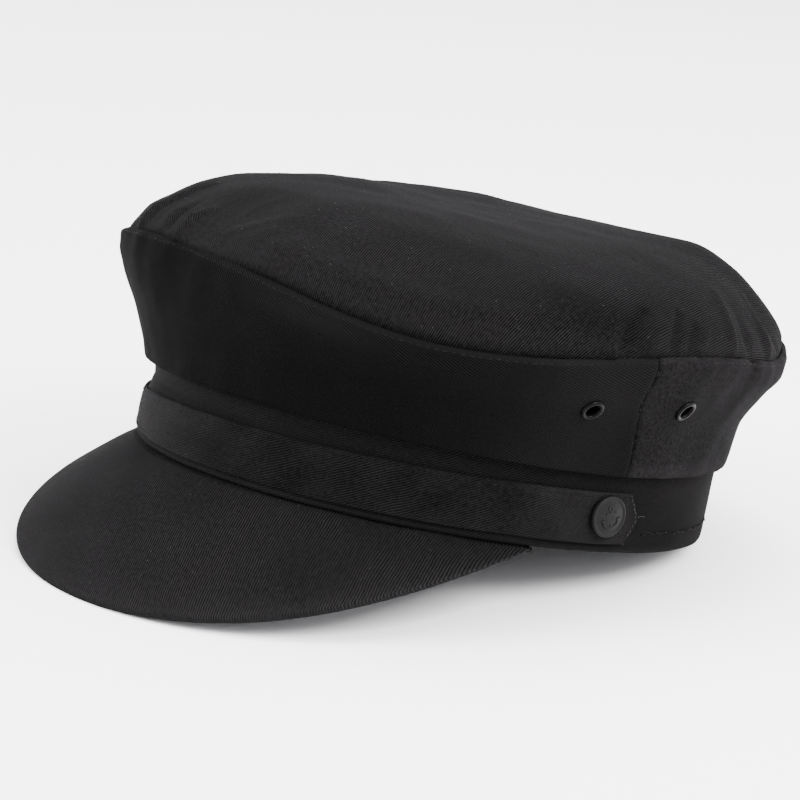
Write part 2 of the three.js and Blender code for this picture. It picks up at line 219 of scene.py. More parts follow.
def twill(name, black, slant, wale=0.78, depth=1.0, sheen=0.005, fuzz=1.0, mottle=0.3):
    """Black cotton twill: diagonal wales crossed by the yarns' short floats, with a fine nap and uneven dye.
    A point attribute makes it paler where the cloth is worn, and also holds painted light and shade: lighter
    where a piece should look lit, darker where it should look shaded. The slant is in degrees from the map's
    first way."""
    finish, tree, shader = plain_finish(name, {
        "Specular IOR Level": 0.012, "Sheen Weight": sheen, "Sheen Roughness": 0.45,
        "Sheen Tint": (0.62, 0.6, 0.62, 1)})
    place = add_node(tree, "ShaderNodeUVMap", uv_map="weave").outputs[0]
    pull = noise(tree, place, 0.09, detail=2.0)
    fine = noise(tree, place, 2.6, roughness=0.7)
    patch = noise(tree, place, 0.035, detail=3.0)
    blotch = noise(tree, place, 0.7, detail=3.0)
    turned = add_node(tree, "ShaderNodeMapping",
                      {"Vector": place, "Rotation": (0, 0, -math.radians(slant))})
    split = add_node(tree, "ShaderNodeSeparateXYZ", {"Vector": turned.outputs[0]})
    across = reckon(tree, "ADD", split.outputs["Y"], reckon(tree, "MULTIPLY", pull, 1.3))
    crisp = add_node(tree, "ShaderNodeMapRange", {
        "Value": patch, "From Min": 0.36, "From Max": 0.6, "To Min": 0.45, "To Max": 1.15})
    ridge = reckon(tree, "SINE", reckon(tree, "MULTIPLY", across, FULL_TURN / wale))
    ridge = reckon(tree, "MULTIPLY", ridge, crisp.outputs[0])
    step = reckon(tree, "MULTIPLY", split.outputs["X"], FULL_TURN / (0.62 * wale))
    skew = reckon(tree, "ADD", step, reckon(tree, "MULTIPLY", across, 2.9 / wale))
    floats = reckon(tree, "SINE", skew)
    woven = reckon(tree, "ADD", reckon(tree, "MULTIPLY", ridge, 0.4 * depth),
                   reckon(tree, "MULTIPLY", floats, 0.05 * depth))
    nap = reckon(tree, "MULTIPLY", reckon(tree, "SUBTRACT", fine, 0.5), fuzz)
    height = reckon(tree, "ADD", woven, reckon(tree, "MULTIPLY", nap, 0.8))
    embossed(tree, shader, height, 0.9, 0.00026)
    # The point attribute holds real wear and painted light and shade; it raises or lowers the tone below.
    tone_shift = add_node(tree, "ShaderNodeAttribute", attribute_name="wear_and_light").outputs["Fac"]
    dye = reckon(tree, "ADD", reckon(tree, "MULTIPLY", height, 0.85),
                 reckon(tree, "MULTIPLY", patch, 0.4))
    spots = reckon(tree, "MULTIPLY", reckon(tree, "SUBTRACT", blotch, 0.5), mottle)
    dye = reckon(tree, "ADD", dye, spots)
    tone = reckon(tree, "ADD", dye, reckon(tree, "MULTIPLY", tone_shift, 0.5))
    toned(tree, shader, reckon(tree, "ADD", tone, 0.2), black, (1, 0.97, 1), (0.05, 2.4))
    roughened(tree, shader, fine, 0.7, 0.92)
    return finish


def fitted(piece, finish, slot, *solids):
    """Gives a piece its finish, hangs it on the cap's root body, and hides the solids that it stands for."""
    piece.data.materials.clear()
    piece.data.materials.append(finish)
    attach(piece, "root")
    if solids:
        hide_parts(*solids)


turns = np.linspace(0, FULL_TURN, ROUND_STEPS, endpoint=False)[:, None]
fold = BAND_WALL / 2
bend = np.radians(np.linspace(-90, 0, 7)[1:])
rises = np.concatenate([fold + fold * np.sin(bend), np.linspace(1.6, BAND_HEIGHT + BAND_TUCK, 46)])
depths = np.concatenate([fold * np.cos(bend) - fold, np.zeros(46)])
behind = 1 / (1 + np.exp((BARE_BAND_ANGLE - np.abs(off_front(turns))) / 0.05))
soft = 0.2 * unevenness(outside_band(turns, 0, rises), 34, 11)
dent = behind * (0.12 * line_dent(rises - 3, 2.5) - 0.3 * line_dent(rises - HEM_RISE, 0.5))
dent = dent + (1 - behind) * (0.45 * line_dent(rises - 1.2, 0.9) - 0.3 * line_dent(rises - 19.8, 0.7))
reach = depths + (soft + dent) * np.clip((BAND_HEIGHT - rises) / 8, 0, 1)
band_outside = outside_band(turns, reach, rises)
band_inside = outside_band(turns, 0.3 * soft[:, ::-1] - BAND_WALL - depths[::-1], rises[::-1])
band_columns = np.concatenate([band_outside, band_inside], 1)
table_level = PRESSED_IN - (HEAD_LENGTH / 2 - band_columns[..., 1]) * math.tan(REST_TILT)
band_columns[..., 2] = np.maximum(band_columns[..., 2], table_level)
# Paler along the turned-up lower edge, where the cloth is worn, and painted light on the band's front right,
# which lies in the shade of the crown's overhang.
band_wear_and_light = 0.5 * line_dent(rises - 0.5, 1.1) + 0.8 * right_front(turns, 0.2, 0.8)
band_wear_and_light = np.concatenate([band_wear_and_light, 0 * band_wear_and_light], 1)
band_twill = twill("band twill", BAND_LIT_BLACK, 28, depth=0.7, mottle=0.5)
headband = cloth("headband_twill", band_columns, True, wear_and_light=band_wear_and_light)
fitted(headband, band_twill, "band_twill", "headband")

# Peak
# A stiff board covered above and below with the same twill, sewn in under the front of the band. Its
# edge is rolled, it slopes less towards its ends, and it reaches the table with its front edge.
PEAK_REACH = 55
PEAK_SPREAD = math.radians(76)
PEAK_MIDDLE_SLOPE = math.radians(50)
PEAK_END_SLOPE = math.radians(19)
PEAK_TURN = 0.34
PEAK_BOW = 0.04
PEAK_TAPER = 0.74
PEAK_FULLNESS = 0.32
PEAK_WALL = 3
PEAK_END_WALL = 1.2
PEAK_TUCK = 1.8
PEAK_TUCK_HEIGHT = 0.8
PEAK_GROOVE = 3.4
PEAK_ABOVE_TABLE = 0.05
SEAM_GAP = 0.3
# Tone of the peak's black twill: painted light, set lighter than on the side wall so that the peak shows as
# brightly lit.
PEAK_LIT_BLACK = 0.0046


def peak_point(spread, share):
    """The upper side, by share of the spread to one side and share of the reach."""
    spread, share = np.broadcast_arrays(spread, share)
    angle = spread * PEAK_SPREAD
    width = PEAK_REACH * (1 - spread ** 2) ** PEAK_TAPER * (1 + PEAK_FULLNESS * spread ** 2)
    slope = PEAK_MIDDLE_SLOPE + (PEAK_END_SLOPE - PEAK_MIDDLE_SLOPE) * spread ** 2
    bow = PEAK_BOW * width * 4 * share * (1 - share)
    level = width * share * np.cos(slope) + bow * np.sin(slope)
    drop = width * share * np.sin(slope) - bow * np.cos(slope)
    turn = PEAK_TURN * angle
    return outside_band(angle, 0, -SEAM_GAP) + np.stack(
        [level * np.sin(turn), -level * np.cos(turn), -drop], -1)


def unit(vectors):
    return vectors / np.maximum(np.linalg.norm(vectors, axis=-1, keepdims=True), 1e-9)


spreads = np.sin(np.linspace(-1, 1, 260) * math.radians(88.6))[:, None]
peak_width = np.linalg.norm(peak_point(spreads, 1) - peak_point(spreads, 0), axis=-1)
half_wall = (PEAK_WALL + (PEAK_END_WALL - PEAK_WALL) * spreads ** 6) / 2
half_wall = np.minimum(half_wall, 0.45 * peak_width)
shares = np.linspace(1, 0, 56) ** 1.15 * (1 - half_wall / peak_width)
upper = peak_point(spreads, shares)
step = 1e-3
along = unit(peak_point(spreads + step * (1 - spreads ** 2), shares)
             - peak_point(spreads - step * (1 - spreads ** 2), shares))
outwards = unit(peak_point(spreads, shares + step) - peak_point(spreads, shares - step))
skyward = unit(np.cross(outwards, along))
skyward *= np.sign(skyward[..., 2:])
edge_distance = (1 - shares) * peak_width
swell = (0.16 * unevenness(upper, 30, 21) - 0.18 * line_dent(edge_distance - PEAK_GROOVE, 0.6)
         - 0.5 * line_dent(shares * peak_width, 0.7))
upper = upper + skyward * (swell * np.clip(edge_distance / 6, 0, 1))[..., None]
lower = upper - skyward * 2 * half_wall[..., None]
rolled = np.radians(np.linspace(6, 84, 7))[:, None]


def peak_lip(side):
    """Half of the rolled edge, above it or below it, from the outermost line inwards."""
    middle = (upper[:, :1] + lower[:, :1]) / 2
    turned = outwards[:, :1] * np.cos(rolled) + side * skyward[:, :1] * np.sin(rolled)
    return middle + half_wall[..., None] * turned


tuck = outside_band(spreads * PEAK_SPREAD, -PEAK_TUCK, PEAK_TUCK_HEIGHT - 1.05 * spreads ** 40)
under_tuck = outside_band(spreads * PEAK_SPREAD, -PEAK_TUCK, -SEAM_GAP - 2 * half_wall)
peak_columns = np.concatenate(
    [peak_lip(1), upper, tuck, under_tuck, lower[:, ::-1], peak_lip(-1)[:, ::-1]], 1)
table_level = PEAK_ABOVE_TABLE - REST_PLACE[2] + peak_columns[..., 1] * math.sin(REST_TILT)
table_level = table_level / math.cos(REST_TILT)
peak_columns[..., 2] = np.maximum(peak_columns[..., 2], table_level)
round_lip = peak_width + half_wall * (math.pi / 2 - 1 - rolled.T)
cover_reach = np.concatenate([round_lip, shares * peak_width, 0 * spreads - 2], 1)
cover_reach = np.concatenate([cover_reach, cover_reach[:, ::-1], cover_reach[:, :1]], 1)
cover_across = np.concatenate([peak_columns[..., 0], peak_columns[:, :1, 0]], 1)
peak_weave = np.stack([cover_across, cover_reach - peak_point(spreads, 0)[..., 1]], -1)
rubbed = np.concatenate([np.full(7, 0.35), 0.35 * np.linspace(1, 0, 57) ** 9])
peak_twill = twill("peak twill", PEAK_LIT_BLACK, 65, wale=0.81, depth=1.1, mottle=0.6)
peak = cloth("peak_cover", peak_columns, False, peak_weave, np.concatenate([rubbed, rubbed[::-1]]))
fitted(peak, peak_twill, "visor_twill", "visor")

# Strap
# A band of twill with its long edges folded under and stitched, laid round the front of the headband.
# Each end is folded to a point, stitched with slightly shiny thread, and held by a button.
STRAP_HEIGHT = 16.5
STRAP_FOOT = 3
STRAP_WALL = 1
STRAP_END = math.radians(98)
STRAP_POINT = 5
STRAP_TIP = 2
# Tone of the strap's black twill: painted light, about twice the side wall's, so that the strap shows more
# lit than the wall above it.
STRAP_LIT_BLACK = 0.0039
FOLDED_EDGE = 0.5
EDGE_STITCH = 1.6
POINT_STITCH = 0.6
STRAP_SAG = 0.7
STRAP_NARROWER = 1.5
STRAP_LEAN = 1.6
STRAP_DIP = 2.4


def strap_edges(angle):
    """Heights of the strap's lower and upper edge. The lower one sags in front, and the upper one
    rises a little from right to left and dips at the right front."""
    high = STRAP_FOOT + STRAP_HEIGHT - STRAP_NARROWER
    return (STRAP_FOOT - STRAP_SAG * line_dent(angle, 0.9),
            high + STRAP_LEAN * np.sin(angle) - STRAP_DIP * right_front(angle))


end_turn = STRAP_POINT / BAND_RADIUS
body_turns = np.linspace(-STRAP_END, STRAP_END, 420)
point_turns = STRAP_END + end_turn * np.linspace(0, 1, 12)[1:]
strap_turns = np.concatenate([-point_turns[::-1], body_turns, point_turns])[:, None]
past_end = np.clip((np.abs(strap_turns) - STRAP_END) / end_turn, 0, 1)
strap_low, strap_high = strap_edges(strap_turns)
half_height = (strap_high - strap_low) / 2 * (1 - past_end) + STRAP_TIP / 2 * past_end
levels = np.sin(np.linspace(-1, 1, 30) * math.pi / 2)[None]
from_edge = half_height * (1 - np.abs(levels))
rounded = np.sqrt(1 - (1 - np.clip(from_edge / FOLDED_EDGE, 0, 1)) ** 2)
thicker = -0.25 + 0.1 * np.exp(-((from_edge / 3.2) ** 4)) - 0.1 * line_dent(from_edge - EDGE_STITCH, 0.3)
strap_height = (strap_low + strap_high) / 2 + half_height * levels
base = outside_band(strap_turns, 0, strap_height)
bulge = 0.12 * unevenness(base, 26, 31) + 0.05 * unevenness(base, 7, 32)
strap_reach = SEAM_GAP + STRAP_WALL * rounded + (thicker + bulge) * rounded
strap_height = strap_height + 0.12 * unevenness(outside_band(strap_turns, 0, 0), 22, 33)
strap_outside = outside_band(strap_turns, strap_reach, strap_height)
strap_inside = outside_band(strap_turns, SEAM_GAP - 0.1, strap_height[:, ::-1])
strap_columns = np.concatenate([strap_outside, strap_inside], 1)
# Paler near the folded edges, where they are worn, with random tone; and painted light at the wearer's right
# front and near the left end, where the strap should look more lit.
strap_wear_and_light = 0.12 * line_dent(from_edge, 0.7)
strap_wear_and_light = strap_wear_and_light + 1.4 * right_front(strap_turns, 0.38, 0.42) - 0.15
strap_wear_and_light = strap_wear_and_light + 0.45 * line_dent(strap_turns - 1.5, 0.25) + 0.13 * unevenness(base, 15, 35)
strap_wear_and_light = np.concatenate([strap_wear_and_light, 0 * strap_wear_and_light], 1)
strap_twill = twill("strap twill", STRAP_LIT_BLACK, 26, depth=0.7, mottle=0.55)
strap = cloth("strap_twill_band", strap_columns, False, wear_and_light=strap_wear_and_light)
fitted(strap, strap_twill, "strap_twill", "front_strap")


def thread(name, black, shine):
    """Sewing thread: twisted plies with a dull gloss."""
    finish, tree, shader = plain_finish(name, {"Specular IOR Level": shine, "Sheen Weight": 0.006})
    place = add_node(tree, "ShaderNodeTexCoord").outputs["Object"]
    plies = noise(tree, place, 2600.0, detail=2.0)
    toned(tree, shader, plies, black, (1, 0.98, 1), (0.6, 1.5))
    embossed(tree, shader, plies, 1.0, 0.0001)
    roughened(tree, shader, plies, 0.4, 0.7)
    return finish


def strewing_tree(name, laid_on, sizes):
    """A new tree that lays threads on a line or on cloth, and the outputs that give it its sizes."""
    tree = bpy.data.node_groups.new(name, "GeometryNodeTree")
    tree.interface.new_socket(laid_on, in_out="INPUT", socket_type="NodeSocketGeometry")
    tree.interface.new_socket("Laid", in_out="OUTPUT", socket_type="NodeSocketGeometry")
    for label, value in sizes.items():
        socket = tree.interface.new_socket(label, in_out="INPUT", socket_type="NodeSocketFloat")
        socket.default_value = value
    tree.interface.new_socket("Seed", in_out="INPUT", socket_type="NodeSocketInt").default_value = 1
    tree.interface.new_socket("Thread", in_out="INPUT", socket_type="NodeSocketMaterial")
    return tree, add_node(tree, "NodeGroupInput").outputs


def lay_threads(tree, given, points, turn, shortest, longest, roundness):
    """Ends a tree with one plump thread on each point, longer or shorter at random."""
    half_long = reckon(tree, "MULTIPLY", given["Length"], 0.5)
    half_wide = reckon(tree, "MULTIPLY", given["Width"], 0.5)
    size = add_node(tree, "ShaderNodeCombineXYZ", {"X": half_long, "Y": half_wide, "Z": half_wide})
    longer = add_node(tree, "FunctionNodeRandomValue",
                      {2: shortest, 3: longest, "Seed": given["Seed"]}, data_type="FLOAT")
    scale = add_node(tree, "ShaderNodeVectorMath",
                     {0: size.outputs[0], 1: longer.outputs[1]}, operation="MULTIPLY")
    bit = add_node(tree, "GeometryNodeMeshIcoSphere", {"Radius": 1.0, "Subdivisions": roundness})
    laid = add_node(tree, "GeometryNodeInstanceOnPoints", {
        "Points": points, "Instance": bit.outputs[0], "Rotation": turn, "Scale": scale.outputs[0]})
    real = add_node(tree, "GeometryNodeRealizeInstances", {"Geometry": laid.outputs[0]})
    dressed = add_node(tree, "GeometryNodeSetMaterial",
                       {"Geometry": real.outputs[0], "Material": given["Thread"]})
    add_node(tree, "NodeGroupOutput", {0: dressed.outputs[0]})


def stitch_tree():
    """Stitches along a line: one short plump thread for each length of pitch, a little unlike the next."""
    tree, given = strewing_tree("stitches", "Line", {
        "Pitch": 0.0027, "Length": 0.002, "Width": 0.0004, "Looseness": 0.00005})
    line = add_node(tree, "GeometryNodeMeshToCurve", {"Mesh": given["Line"]})
    spaced = add_node(tree, "GeometryNodeResampleCurve",
                      {"Curve": line.outputs[0], "Length": given["Pitch"]}, mode="LENGTH")
    tangent = add_node(tree, "GeometryNodeInputTangent").outputs[0]
    turned = add_node(tree, "FunctionNodeAlignRotationToVector", {"Vector": tangent}, axis="X")
    loose = given["Looseness"]
    less = add_node(tree, "ShaderNodeVectorMath", {0: loose, 1: (-1, -1, -1)}, operation="MULTIPLY")
    shift = add_node(tree, "FunctionNodeRandomValue",
                     {"Min": less.outputs[0], "Max": loose, "Seed": given["Seed"]},
                     data_type="FLOAT_VECTOR")
    moved = add_node(tree, "GeometryNodeSetPosition",
                     {"Geometry": spaced.outputs[0], "Offset": shift.outputs[0]})
    lay_threads(tree, given, moved.outputs[0], turned.outputs[0], 0.8, 1.15, 2)
    return tree


stitches = stitch_tree()


def as_modified(piece):
    """The mesh of an object as its modifiers leave it."""
    return bpy.data.meshes.new_from_object(piece.evaluated_get(bpy.context.evaluated_depsgraph_get()))


def made_by(tree, source, inputs):
    """The mesh that a tree makes of an object, with its inputs set by their labels."""
    maker = source.modifiers.new("made", "NODES")
    maker.node_group = tree
    sockets = {item.name: item.identifier for item in tree.interface.items_tree}
    for label, value in inputs.items():
        maker[sockets[label]] = value
    mesh = as_modified(source)
    source.modifiers.remove(maker)
    return mesh


def sew(name, lines, finish, slot, pitch=2.7, length=2.0, width=0.42, loose=0.04, seed=1):
    """Rows of stitches along lines of points, all in millimetres."""
    counts = [len(line) for line in lines]
    ends = np.cumsum([0] + counts)
    edges = [(i, i + 1) for a, b in zip(ends, ends[1:]) for i in range(a, b - 1)]
    path = bpy.data.meshes.new(name + "_line")
    path.from_pydata(on_table(np.concatenate(lines)).tolist(), edges, [])
    guide = linked(name + "_line", path)
    mesh = made_by(stitches, guide, {
        "Pitch": pitch / 1000, "Length": length / 1000, "Width": width / 1000,
        "Looseness": loose / 1000, "Seed": seed, "Thread": finish})
    bpy.data.objects.remove(guide)
    fitted(shown(name, mesh), finish, slot)


black_thread = thread("black thread", 0.0016, 0.015)
bright_thread = thread("bright thread", 0.013, 0.2)
worn_thread = thread("worn thread", 0.0037, 0.02)


def strap_line(angles, above_foot, lift):
    """A line on the strap, at a height above its lower edge when the strap lies straight."""
    low, high = strap_edges(angles)
    reach = SEAM_GAP + STRAP_WALL + lift
    return outside_band(angles, reach, low + (high - low) * above_foot / STRAP_HEIGHT)


straight = np.linspace(-STRAP_END, STRAP_END, 400)
sew("stitches_strap_edges",
    [strap_line(straight, EDGE_STITCH, -0.2), strap_line(straight, STRAP_HEIGHT - EDGE_STITCH, -0.2)],
    worn_thread, "strap_twill", width=0.34, seed=3)
chevrons = []
for side in (1, -1):
    corner = STRAP_END - 0.2 / BAND_RADIUS
    tip = STRAP_END + (STRAP_POINT - 1.0) / BAND_RADIUS
    half = np.linspace(0, 1, 14)
    rise = np.concatenate([POINT_STITCH + (STRAP_HEIGHT / 2 - POINT_STITCH) * half,
                           STRAP_HEIGHT / 2 + (STRAP_HEIGHT / 2 - POINT_STITCH) * half[1:]])
    turn = np.concatenate([corner + (tip - corner) * half, tip - (tip - corner) * half[1:]])
    chevrons.append(strap_line(side * turn, rise, -0.15))
sew("stitches_strap_points", chevrons, bright_thread, "strap_twill", pitch=1.5, length=1.1,
    width=0.2, loose=0.25, seed=4)
behind_turns = np.linspace(STRAP_END + 0.09, FULL_TURN - STRAP_END - 0.09, 300)
hem_line = outside_band(behind_turns, -0.05, HEM_RISE)
sew("stitches_band_hem", [hem_line], black_thread, "band_twill", pitch=2.3, length=1.7, width=0.6,
    loose=0.3, seed=5)
sew("fuzz_band_hem", [hem_line], bright_thread, "band_twill", pitch=1.3, length=0.7, width=0.12,
    loose=0.5, seed=15)
# A loose end of thread lies behind the point of the strap.
end_run = np.linspace(0, 1, 12)
loose_end = outside_band(STRAP_END + (STRAP_POINT - 0.5 + 4.5 * end_run) / BAND_RADIUS, 0.25,
                         11.5 + 0.8 * np.sin(2.4 * end_run))
sew("loose_thread", [loose_end], bright_thread, "band_twill", pitch=0.35, length=0.6, width=0.14,
    loose=0.03, seed=7)

# Side wall of the crown
# Two panels of twill, front and back, joined by a seam at each side. They are gathered on the band's
# upper edge, droop over it a little, and flare out to the seam with the top, which is stitched down.
SIDE_HEIGHT = 40
CROWN_FLARE = 18
CROWN_HEIGHT = 92
CLOTH_WALL = 1.6
FOLD_HEIGHT = 2.4
SIDE_SEAM_ANGLE = 90.5
SIDE_SEAM_SLANT = -7
SIDE_SEAM_BOW = 2.3
SIDE_SEAM_GAP = 0.12
SIDE_RADIUS = (HEAD_WIDTH + CROWN_FLARE) / 2
DROOP = 2.2
HEM_TURN_UP = 2.2
HEM_PINCH = 1.6
SEAM_PINCH = 0.7
STITCH_GROOVE = 0.3
REAR_CURL = 6.6
FRONT_CURL = 0.8
RIGHT_CURL = 2.4
RIGHT_PUFF = 2.2
RIGHT_HEM_DIP = 2.2
SEAM_STITCH = 1.5
EYELET_AHEAD = 22
EYELET_BEHIND = 17
EYELET_RISE = 0.555
EYELET_HOLE = 2.25
PUNCH_MARGIN = 0.7
PUNCH_DEPTH = 6
WALL_CURVE = 520
# Tones of the front and back panels' black twill: painted shade on the front panel, which faces the camera in
# shade, and painted light on the back panel, which faces the lamp on the right.
WALL_SHADED_BLACK = 0.0019
BACK_LIT_BLACK = 0.0039
# Rise, then the reach beyond the band as shares of the flare at 0, 45, 90, 135 and 180 degrees.
SIDE_SHAPE = np.array([
    (0.0, 0.02, 0.03, 0.06, 0.03, 0.02),
    (0.07, 0.06, 0.08, 0.12, 0.08, 0.06),
    (0.2, 0.13, 0.24, 0.2, 0.11, 0.12),
    (0.36, 0.2, 0.47, 0.34, 0.16, 0.16),
    (0.52, 0.28, 0.73, 0.56, 0.31, 0.26),
    (0.68, 0.35, 0.95, 0.76, 0.52, 0.4),
    (0.84, 0.4, 1.08, 0.9, 0.73, 0.48),
    (0.95, 0.34, 1.05, 0.94, 0.74, 0.5),
    (1.0, 0.2, 0.9, 0.9, 0.66, 0.46)])
SEAM_RISE = (1.01, 0.82, 1.0, 0.96, 0.95)
# Angle and half width in degrees, reach from the crown seam as a share, height as a share.
SIDE_FOLDS = ((4, 6, 0.5, -0.4), (17, 6, 0.4, -0.35), (52, 13, 0.9, -0.4), (112, 9, 0.8, -0.3),
              (127, 7, 0.8, 0.2), (150, 9, 0.9, -0.2))


def round_head(values, angle):
    """A smooth value at any angle, through five values from the front to the rear."""
    k = np.arange(5)
    share = np.where((k == 0) | (k == 4), 0.5, 1.0)
    waves = np.cos(math.pi / 4 * np.outer(k, k)) @ (share * np.asarray(values)) * share / 2
    return sum(height * np.cos(wave * angle) for wave, height in enumerate(waves))


def from_table(table, at, angle):
    """A table's value at any angle and any share of its first column, on a smooth curve."""
    marks = table[:, 0]
    at, angle = np.broadcast_arrays(at, angle)
    levels = np.stack([round_head(row[1:], angle) for row in table], -1)
    slopes = np.diff(levels, axis=-1) / np.diff(marks)
    before, after = slopes[..., :-1], slopes[..., 1:]
    total = np.where(before * after > 0, before + after, 1)
    inner = np.where(before * after > 0, 2 * before * after / total, 0)
    tangents = np.concatenate([slopes[..., :1], inner, slopes[..., -1:]], -1)
    low = np.clip(np.searchsorted(marks, at, side="right") - 1, 0, len(marks) - 2)
    width = marks[low + 1] - marks[low]
    t = (at - marks[low]) / width

    def pick(values, k):
        return np.take_along_axis(values, k[..., None], -1)[..., 0]

    rise = pick(levels, low) * (2 * t ** 3 - 3 * t ** 2 + 1)
    rise += pick(levels, low + 1) * (3 * t ** 2 - 2 * t ** 3)
    rise += pick(tangents, low) * width * (t ** 3 - 2 * t ** 2 + t)
    return rise + pick(tangents, low + 1) * width * (t ** 3 - t ** 2)


def fold_lift(folds, angle, away):
    """How far the folds lift the cloth, at a share of the way from the crown seam."""
    turned = np.degrees(np.abs(off_front(angle)))
    lift = 0
    for middle, width, reach, height in folds:
        along = np.sin(math.pi * np.sqrt(np.clip(away / reach, 0, 1)))
        lift = lift + FOLD_HEIGHT * height * line_dent(turned - middle, width) * along
    return lift


def side_seam(rise):
    return np.radians(SIDE_SEAM_ANGLE + SIDE_SEAM_SLANT * (rise - 0.5))


def side_seam_line(rise):
    """The side seam as it is sewn, drawn a little forward at mid height."""
    return side_seam(rise) - np.radians(SIDE_SEAM_BOW) * line_dent(rise - 0.62, 0.22)


def gathers(angle, away, seed):
    """Small puckers that run away from a seam and fade within a few millimetres."""
    on_seam = outside_band(angle, 0, 0)
    return (0.24 * unevenness(on_seam, 8, seed) * np.exp(-away / 5)
            + 0.3 * unevenness(on_seam, 19, seed + 1) * np.exp(-away / 12))


def seam_lift(angle):
    """How much the crown seam curls up behind each rear corner, beside the front, and more at the
    right front."""
    turned = np.degrees(np.abs(off_front(angle)))
    return (REAR_CURL * line_dent(turned - 150, 13) + FRONT_CURL * line_dent(turned - 26, 16)
            + RIGHT_CURL * right_front(angle))


def wall_point(angle, rise, smooth=False):
    """The outside of the side wall, with its folds, gathers and seams."""
    angle, rise = np.broadcast_arrays(angle, rise)
    height = SIDE_HEIGHT * round_head(SEAM_RISE, angle) + seam_lift(angle)
    reach = SEAM_GAP + CLOTH_WALL + CROWN_FLARE * from_table(SIDE_SHAPE, rise, angle)
    reach = reach + fold_lift(SIDE_FOLDS, angle, 1 - rise)
    puffed = np.clip((rise - 0.82) / 0.18, 0, 1) ** 2
    reach = reach + RIGHT_PUFF * right_front(angle, 0.6, 0.45) * puffed
    level = BAND_HEIGHT + rise * height
    if smooth:
        return outside_band(angle, reach, level)
    below_seam = (1 - rise) * height
    above_band = rise * height
    level = level - DROOP * line_dent(above_band - 1.1, 1.7) + HEM_TURN_UP * np.exp(-above_band / 0.5)
    sag = round_head((0.4, 0.9, -0.5, 0.6, 0.5), angle) - RIGHT_HEM_DIP * right_front(angle)
    level = level + sag * np.exp(-above_band / 5)
    reach = reach - HEM_PINCH * np.exp(-above_band / 0.9)
    rough = outside_band(angle, reach, level)
    reach = reach + 1.5 * gathers(angle, below_seam, 41) + 0.8 * gathers(angle, above_band, 43)
    reach = reach + 0.32 * unevenness(rough, 42, 45) + 0.1 * unevenness(rough, 14, 46)
    reach = reach - SEAM_PINCH * np.exp(-below_seam / 0.5) + 0.14 * line_dent(below_seam - 1.2, 0.7)
    reach = reach - STITCH_GROOVE * line_dent(below_seam - SEAM_STITCH, 0.45)
    from_side = (np.abs(off_front(angle)) - side_seam_line(rise)) * SIDE_RADIUS
    reach = reach - 0.6 * np.exp(-np.abs(from_side) / 0.6) + 0.16 * line_dent(from_side + 2, 1.6)
    return outside_band(angle, reach, level)


def lining(outside, wall, ring):
    """The inside of a cloth whose outside is the grid."""
    if ring:
        along = np.roll(outside, -1, 0) - np.roll(outside, 1, 0)
    else:
        along = np.gradient(outside, axis=0)
    normals = unit(np.cross(along, np.gradient(outside, axis=1)))
    flat = np.linalg.norm(normals, axis=-1, keepdims=True) < 0.5
    return outside - wall * np.where(flat, (0, 0, 1), normals)


def eyelet_seat(side, is_front):
    """Where an eyelet sits on the side wall: its own +Z points out of the cloth and +Y up it."""
    away = -EYELET_AHEAD if is_front else EYELET_BEHIND
    angle = side * (side_seam(EYELET_RISE) + away / SIDE_RADIUS)
    step = 0.02
    place = wall_point(angle, EYELET_RISE)
    along = unit(wall_point(angle + step, EYELET_RISE) - wall_point(angle - step, EYELET_RISE))
    up = unit(wall_point(angle, EYELET_RISE + step) - wall_point(angle, EYELET_RISE - step))
    out = unit(np.cross(along, up))
    return place, np.stack([along, np.cross(out, along), out])


def seated(seat, points):
    """Points of a piece of trim, from its own millimetres to the cap's."""
    place, ways = seat
    return place + np.asarray(points, dtype=float) @ ways


def spun(profile, steps):
    """Rings of points, from a profile of radius and height turned about its own axis."""
    around = np.linspace(0, FULL_TURN, steps, endpoint=False)[:, None]
    radius, height = np.array(profile, dtype=float).T
    return np.stack([radius * np.cos(around), radius * np.sin(around), height + 0 * around], -1)


def punched(piece, seats):
    """Cuts the eyelets' holes through a panel."""
    wide = EYELET_HOLE + PUNCH_MARGIN
    tube = [(0, -PUNCH_DEPTH), (wide, -PUNCH_DEPTH), (wide, PUNCH_DEPTH), (0, PUNCH_DEPTH)]
    for seat in seats:
        punch = cloth("punch", seated(seat, spun(tube, 40)), True)
        cut = piece.modifiers.new("hole", "BOOLEAN")
        cut.operation = "DIFFERENCE"
        cut.solver = "EXACT"
        cut.object = punch
        mesh = as_modified(piece)
        piece.modifiers.remove(cut)
        piece.data = mesh
        bpy.data.objects.remove(punch)


wall_rises = np.concatenate([np.linspace(0, 0.12, 12), np.linspace(0.12, 0.88, 26)[1:],
                             np.linspace(0.88, 1, 14)[1:]])
seam_worn = 0.25 * line_dent(wall_rises - 0.975, 0.03)
